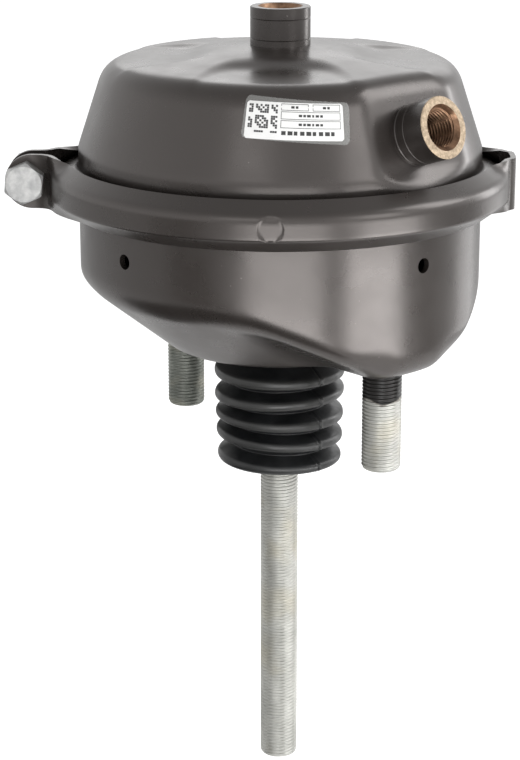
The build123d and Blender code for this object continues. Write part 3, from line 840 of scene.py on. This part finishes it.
def threadedBar(low, high, above, runOut):
    # rounded end, a thread up to the given height and the turned lengths above it
    bm = bmesh.new()
    crest, curve = thread["crest"], thread["endRound"]
    path = [(0, low)] + threadRun(crest, low, high, thread["pitch"]) + above
    spinPath(bm, path, thread["steps"])
    cutThread(bm, crest, thread["root"], thread["pitch"], low - 1, high + 0.1, runOut)
    limitRadius(bm, lambda height:
                crest - curve + sqrt(max(curve ** 2 - max(curve - height + low, 0) ** 2, 0)))
    return bm


def makeStuds():
    for name, side, material, node in (("studNear", 1, nearStudZinc, "stud_near"),
                                       ("studFar", -1, farStudZinc, "stud_far")):
        seatHeight, shank, head = studs["shankTop"], studs["shank"], studs["headRadius"]
        top = seatHeight + studs["headHeight"]
        above = [(shank, 0), (shank, seatHeight), (head, seatHeight), (head, top - 1),
                 (head - 1, top), (0, top)]
        bm = threadedBar(-studs["reach"], 0, above, 0.5)
        bmesh.ops.translate(bm, vec=(side * studs["spacing"] / 2, 0, 0), verts=bm.verts)
        seat(makePiece(bm, name, [material], 50.0), "housing", "zinc_steel", node)
    print("studs made")


def makeRod():
    shank, top = rod["shank"], rod["top"]
    above = [(shank, rod["threadTop"] + 0.4), (shank, top), (0, top)]
    bm = threadedBar(rod["end"], rod["threadTop"], above, 1.5)
    piece = makePiece(bm, "pushrodThreaded", [rodZinc], 50.0)
    seat(piece, "rod", "zinc_steel", "pushrod")
    print("pushrod:", len(piece.data.polygons), "faces")


# Boot: a neck through the housing and five fat folds, each leaning its own way

boot = {
    "thickness": 1.8,
    "neck": 19.0,
    "neckTop": 6.5,
    "neckEnd": -7.2,
    "root": 17.4,
    "crestHalf": 0.95,
    "crestBlend": 1.1,
    "rootBlend": 1.2,
    "end": -54.0,
    "grip": 7.0,
    "gripRadius": 8.7,
    "folds": ((-12.9, 27.1, -0.010), (-21.9, 27.0, 0.046), (-31.1, 26.7, -0.013),
              (-39.7, 26.4, -0.048), (-49.6, 25.9, -0.020)),
    "leanTowards": (0.6704, 0.7420),
    "seamAngle": -3.6,
    "seamHalf": 2.6,
    "seamRise": 0.25,
    "seamTop": -6,
    "nickHalf": 0.9,
    "nickDepth": 0.55,
    "pathGap": 1.4,
    "steps": 216,
}


def makeBoot():
    half = boot["thickness"] / 2
    folds = boot["folds"]
    corners = [(boot["neck"], boot["neckTop"]), (boot["neck"], boot["neckEnd"], boot["rootBlend"])]
    for index, (height, crest, lean) in enumerate(folds):
        crest -= half
        corners += [(crest, height + boot["crestHalf"], boot["crestBlend"]),
                    (crest, height - boot["crestHalf"], boot["crestBlend"])]
        if index < len(folds) - 1:
            corners.append((boot["root"], (height + folds[index + 1][0]) / 2, boot["rootBlend"]))
    corners.append((boot["gripRadius"], boot["end"], boot["rootBlend"]))
    corners.append((boot["gripRadius"], boot["end"] + boot["grip"]))
    middle = spacedPath(roundedPath(corners), boot["pathGap"])
    normals = []
    for index in range(len(middle)):
        before, after = Vector(middle[max(index - 1, 0)]), Vector(middle[min(index + 1, len(middle) - 1)])
        run = (after - before).normalized()
        normals.append(Vector((-run.y, run.x)))
    outer = [tuple(Vector(point) + normal * half) for point, normal in zip(middle, normals)]
    inner = [tuple(Vector(point) - normal * half) for point, normal in zip(middle, normals)]
    bm = bmesh.new()
    spinPath(bm, outer + inner[::-1], boot["steps"], closed=True)
    levels = [0.0] + [fold[0] for fold in folds] + [boot["end"]]
    leans = [0.0] + [fold[2] for fold in folds] + [0.0]
    sideways = Vector(boot["leanTowards"])
    for vert in bm.verts:
        lean = np.interp(-vert.co.z, [-level for level in levels], leans)
        vert.co.z += float(lean) * Vector((vert.co.x, vert.co.y)).dot(sideways)
        angle = degrees(atan2(vert.co.y, vert.co.x)) - boot["seamAngle"]
        radius = hypot(vert.co.x, vert.co.y)
        if abs(angle) < boot["seamHalf"] and radius > boot["root"] + 3 and vert.co.z < boot["seamTop"]:
            grown = 1 + (boot["seamRise"] if abs(angle) > boot["nickHalf"] else -boot["nickDepth"]) / radius
            vert.co.x *= grown
            vert.co.y *= grown
    piece = makePiece(bm, "rubberBoot", [bootRubber], 60.0)
    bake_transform(piece)
    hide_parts("boot")
    print("boot:", len(piece.data.polygons), "faces")


# Label: a white sticker under a wider clear film, with ruled boxes, dashes and dots that say nothing

label = {
    "angle": -38.4,
    "height": 104.3,
    "tilt": -2.7,
    "width": 36.9,
    "tall": 14.0,
    "corner": 0.8,
    "filmAngle": -37.8,
    "filmHeight": 104.5,
    "filmTilt": -5.0,
    "filmWidth": 40.2,
    "filmTall": 15.9,
    "filmCorner": 1.6,
    "lift": 0.12,
    "line": 0.2,
    "boxes": ((13.2, 0.4, 23.6, 2.9), (25.2, 0.4, 35.8, 2.9), (13.2, 3.3, 35.8, 6.2), (13.2, 6.6, 35.8, 9.5)),
    "dashRoom": 3.6,
    "dashPitch": 1.6,
    "dashHalves": (0.62, 0.5, 0.7, 0.35),
    "dashHalfTall": 0.45,
    "row": (0.4, 10.6, 12.1),
    "rowCount": 9,
    "rowPitch": 2.3,
    "rowWidths": (1.6, 1.8, 1.3),
    "dots": (1.0, 1.0, 12.0, 11.6),
    "dotCount": 13,
    "dotShare": 0.9,
    "white": ((0.72, 0.72, 0.71, 1), (0.80, 0.80, 0.79, 1)),
    "film": (0.34, 0.34, 0.33, 1),
    "ink": (0.035, 0.035, 0.035, 1),
}


def layOnCone(bm, angle, height, tilt, lift):
    # wraps a flat drawing about the housing's side, with its middle at the given place
    verts = bm.verts[:]
    flat = np.array([vert.co for vert in verts])
    turn = radians(tilt)
    along = flat[:, 0] * cos(turn) - flat[:, 1] * sin(turn)
    up = flat[:, 0] * sin(turn) + flat[:, 1] * cos(turn)
    height = height + up * cos(coneLean)
    around = radians(angle) + along / coneRadius(label["height"])
    near, far = np.full(len(verts), 40.0), np.full(len(verts), 100.0)
    for halving in range(30):
        radius = (near + far) / 2
        inside = crownForm(radius * np.cos(around), radius * np.sin(around), height) < 0
        near, far = np.where(inside, radius, near), np.where(inside, far, radius)
    radius = near + (lift + flat[:, 2]) / cos(coneLean)
    for vert, place in zip(verts, zip(radius * np.cos(around), radius * np.sin(around), height)):
        vert.co = place


def addPatch(bm, left, low, right, high, gap=2.0, corner=0.0):
    columns, rows = max(1, round((right - left) / gap)), max(1, round((high - low) / gap))
    verts = bmesh.ops.create_grid(bm, x_segments=columns, y_segments=rows, size=0.5)["verts"]
    bmesh.ops.scale(bm, vec=(right - left, high - low, 1), verts=verts)
    bmesh.ops.translate(bm, vec=((left + right) / 2, (low + high) / 2, 0), verts=verts)
    middle, half = (low + high) / 2, (high - low) / 2
    for vert in verts:
        beyond = max(corner - min(vert.co.x - left, right - vert.co.x), 0)
        cut = corner - sqrt(max(corner ** 2 - beyond ** 2, 0))
        vert.co.y = middle + (vert.co.y - middle) * (1 - cut / half)


def makeLabel():
    white, tree, shader = newMaterial("labelWhite", Roughness=0.32)
    base = colourMix(tree, objectNoise(tree, 300.0, 3.0), *label["white"])
    tree.links.new(base, shader.inputs["Base Color"])
    clear = newMaterial("labelFilm", Roughness=0.22, Base_Color=label["film"], Alpha=0.5)[0]
    ink = newMaterial("labelInk", Roughness=0.5, Base_Color=label["ink"])[0]
    width, tall, line = label["width"] / 2, label["tall"] / 2, label["line"]
    filmWidth, filmTall = label["filmWidth"] / 2, label["filmTall"] / 2
    paperPlace = (label["angle"], label["height"], label["tilt"])
    bm = bmesh.new()
    addPatch(bm, -filmWidth, -filmTall, filmWidth, filmTall, 0.8, label["filmCorner"])
    layOnCone(bm, label["filmAngle"], label["filmHeight"], label["filmTilt"], label["lift"] / 2)
    film = makePiece(bm, "labelFilmEdge", [clear], recalc=False)
    bm = bmesh.new()
    addPatch(bm, -width, -tall, width, tall, 0.8, label["corner"])
    layOnCone(bm, *paperPlace, label["lift"])
    paper = makePiece(bm, "labelPaper", [white], recalc=False)
    bm = bmesh.new()
    for left, top, right, bottom in label["boxes"]:
        left, right, low, high = left - width, right - width, tall - bottom, tall - top
        addPatch(bm, left, low, right, low + line)
        addPatch(bm, left, high - line, right, high)
        addPatch(bm, left, low + line, left + line, high - line)
        addPatch(bm, right - line, low + line, right, high - line)
        count = int((right - left) / label["dashRoom"])
        middle, halfTall = (low + high) / 2, label["dashHalfTall"]
        for dash in range(count):
            start = (left + right) / 2 + (dash - (count - 1) / 2) * label["dashPitch"]
            half = label["dashHalves"][dash % 4]
            addPatch(bm, start - half, middle - halfTall, start + half, middle + halfTall)
    inset, top, bottom = label["row"]
    for dash in range(label["rowCount"]):
        start = label["boxes"][0][0] - width + inset + dash * label["rowPitch"]
        addPatch(bm, start, tall - bottom, start + label["rowWidths"][dash % 3], tall - top)
    left, top, right, bottom = label["dots"]
    across, down = (right - left) / label["dotCount"], (bottom - top) / label["dotCount"]
    for column in range(label["dotCount"]):
        for row in range(label["dotCount"]):
            if (column * 3 + row * 5 + column * row) % 7 < 4:
                start, high = left - width + column * across, tall - top - row * down
                addPatch(bm, start, high - down * label["dotShare"], start + across * label["dotShare"], high)
    layOnCone(bm, *paperPlace, label["lift"] + 0.03)
    printing = makePiece(bm, "labelPrint", [ink], recalc=False)
    for piece in (film, paper, printing):
        face = piece.data.polygons[0]
        if face.normal.dot(face.center) < 0:
            piece.data.flip_normals()
        seat(piece, "housing", "label_film")
    print("label made")


# Pieces inside, seen only through openings

def cadCopy(node, name, material):
    bm = bmesh.new()
    bm.from_mesh(nodes[node].data)
    bmesh.ops.remove_doubles(bm, verts=bm.verts, dist=1e-6)
    bmesh.ops.scale(bm, vec=(1 / mm, 1 / mm, 1 / mm), verts=bm.verts)
    return makePiece(bm, name, [material])


def dressInside():
    for node, material in (("stud_plate", innerSteel), ("push_plate", innerSteel), ("rod_hub", innerSteel),
                           ("boot_retainer", innerSteel), ("rod_guide", guidePlastic)):
        nodes[node].data.materials.clear()
        nodes[node].data.materials.append(material)
    spring = cadCopy("return_spring", "returnSpring", springCoat)
    seat(spring, "housing", "spring_steel", "return_spring")
    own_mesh(spring)
    rubber = cadCopy("diaphragm", "diaphragmRubber", bootRubber)
    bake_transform(rubber)
    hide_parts("diaphragm")
    print("inner pieces dressed")


# Floor, lights and camera

studio = {
    "place": (0.6696, -0.6159, 0.25395),
    "aim": (-0.0055, -0.0060, -0.0180),
    "lens": 107.55,
    "floorHeight": -0.2465,
    "floorHalf": 6.0,
    "floorColour": (0.80, 0.80, 0.80, 1),
    "floorWhite": 0.55,
    "mirroredFloor": 0.12,
    "horizon": 1.0,
    "overhead": 0.5,
    "panelAim": 0.05,
    "panels": {  # azimuth, elevation, distance, width, height, level
        "frontPanel": (2, -17, 0.45, 0.31, 0.15, 4.8),
        "rightPanel": (50, -17, 0.45, 0.24, 0.15, 6.6),
        "frontUpper": (-16, 24, 0.70, 0.26, 0.20, 1.1),
        "rightUpper": (47, 20, 0.60, 0.20, 0.24, 2.6),
        "sideRight": (118, 8, 0.60, 0.16, 0.26, 4.6),
        "sideRightLow": (126, -16, 0.60, 0.26, 0.16, 1.4),
        "highRight": (92, 36, 0.80, 0.34, 0.44, 3.9),
        "back": (172, 27, 0.90, 0.80, 0.34, 1.2),
    },
    "cardColour": (0.28, 0.27, 0.26, 1),
    "lyingColour": (0.04, 0.04, 0.04, 1),
    "cards": {  # azimuth, distance, width, height, lying
        "leftCard": (-47, 0.55, 0.26, 0.26, False),
        "rightCard": (89, 0.55, 0.11, 0.20, False),
        "lowCard": (-24, 0.28, 0.46, 0.26, True),
        "lowSideCard": (-84, 0.27, 0.36, 0.30, True),
    },
}


def viewDirection(azimuth, elevation):
    # direction from the object, with azimuth 0 towards the camera and 90 to its right
    turn, lift = atan2(studio["place"][1], studio["place"][0]) + radians(azimuth), radians(elevation)
    return Vector((cos(turn) * cos(lift), sin(turn) * cos(lift), sin(lift)))


def addPanel(name, azimuth, elevation, distance, width, height, level):
    # soft panel of even brightness that looks at the middle of the object
    light = bpy.data.lights.new(name, "AREA")
    light.shape = "RECTANGLE"
    light.size, light.size_y = width, height
    light.energy = level * pi * width * height
    lamp = bpy.data.objects.new(name, light)
    direction = viewDirection(azimuth, elevation)
    lamp.location = Vector((0, 0, studio["panelAim"])) + direction * distance
    lamp.rotation_euler = direction.to_track_quat("Z", "Y").to_euler()
    lamp.visible_camera = False
    bpy.context.scene.collection.objects.link(lamp)


def addCard(name, azimuth, distance, width, height, lying):
    # dark card standing or lying on the floor, seen only in reflections
    bm = bmesh.new()
    bmesh.ops.create_grid(bm, x_segments=1, y_segments=1, size=0.5 / mm)
    bmesh.ops.scale(bm, vec=(width, height, 1), verts=bm.verts)
    direction = viewDirection(azimuth, 0)
    turned = direction.to_track_quat("Y", "Z") if lying else direction.to_track_quat("Z", "Y")
    bmesh.ops.rotate(bm, cent=(0, 0, 0), matrix=turned.to_matrix(), verts=bm.verts)
    lift = 1 * mm if lying else height / 2
    place = direction * distance + Vector((0, 0, studio["floorHeight"] + lift))
    bmesh.ops.translate(bm, vec=place / mm, verts=bm.verts)
    colour = studio["lyingColour" if lying else "cardColour"]
    material = newMaterial(name, Base_Color=colour, Roughness=1.0)[0]
    card = makePiece(bm, name, [material], recalc=False)
    card.visible_camera = card.visible_diffuse = card.visible_shadow = False


def makeFloor():
    # pale floor that looks white to the camera and keeps its shadow; mirror rays get a share of that white
    bm = bmesh.new()
    bmesh.ops.create_grid(bm, x_segments=8, y_segments=8, size=studio["floorHalf"] / mm)
    bmesh.ops.translate(bm, vec=(0, 0, studio["floorHeight"] / mm), verts=bm.verts)
    material, tree, shader = newMaterial("paleFloor", Base_Color=studio["floorColour"], Roughness=0.9)
    path = addNode(tree, "LightPath")
    mirrored = addNode(tree, "Math", {"operation": "MAXIMUM"}, i0=path.outputs["Is Glossy Ray"],
                       i1=path.outputs["Is Transmission Ray"]).outputs[0]
    dim = addNode(tree, "Math", {"operation": "MULTIPLY"}, i0=mirrored, i1=studio["mirroredFloor"]).outputs[0]
    camera = path.outputs["Is Camera Ray"]
    seen = addNode(tree, "Math", {"operation": "MAXIMUM"}, i0=camera, i1=dim).outputs[0]
    plain = addNode(tree, "Emission", Color=(1, 1, 1, 1), Strength=studio["floorWhite"])
    lit = addNode(tree, "AddShader", i0=shader.outputs[0], i1=plain.outputs[0])
    both = addNode(tree, "MixShader", i0=seen, i1=shader.outputs[0], i2=lit.outputs[0])
    tree.links.new(both.outputs[0], tree.nodes["Material Output"].inputs["Surface"])
    makePiece(bm, "floor", [material], recalc=False)


def makeWorld():
    # plain white all round at the horizon and dimmer overhead, as in a room
    world = bpy.data.worlds.new("studioWorld")
    bpy.context.scene.world = world
    world.use_nodes = True
    tree = world.node_tree
    background = tree.nodes["Background"]
    background.inputs["Color"].default_value = (1, 1, 1, 1)
    place = addNode(tree, "TexCoord").outputs["Generated"]
    height = addNode(tree, "SeparateXYZ", Vector=place).outputs["Z"]
    level = spread(tree, height, 0.3, 0.9, studio["horizon"], studio["overhead"])
    tree.links.new(level, background.inputs["Strength"])


def makeStudio():
    makeFloor()
    makeWorld()
    for name, values in studio["panels"].items():
        addPanel(name, *values)
    for name, values in studio["cards"].items():
        addCard(name, *values)
    camera = bpy.data.objects.new("camera", bpy.data.cameras.new("camera"))
    camera.data.lens = studio["lens"]
    camera.data.sensor_width = 36
    camera.location = studio["place"]
    towards = Vector(studio["aim"]) - Vector(studio["place"])
    camera.rotation_euler = towards.to_track_quat("-Z", "Y").to_euler()
    bpy.context.scene.collection.objects.link(camera)
    bpy.context.scene.camera = camera
    bpy.context.scene.view_settings.view_transform = "Standard"
    print("studio made")


makeStudio()
makeCrown()
makeBowl()
makeBand()
makeScrew()
makePorts()
makeStuds()
makeRod()
makeBoot()
makeLabel()
dressInside()
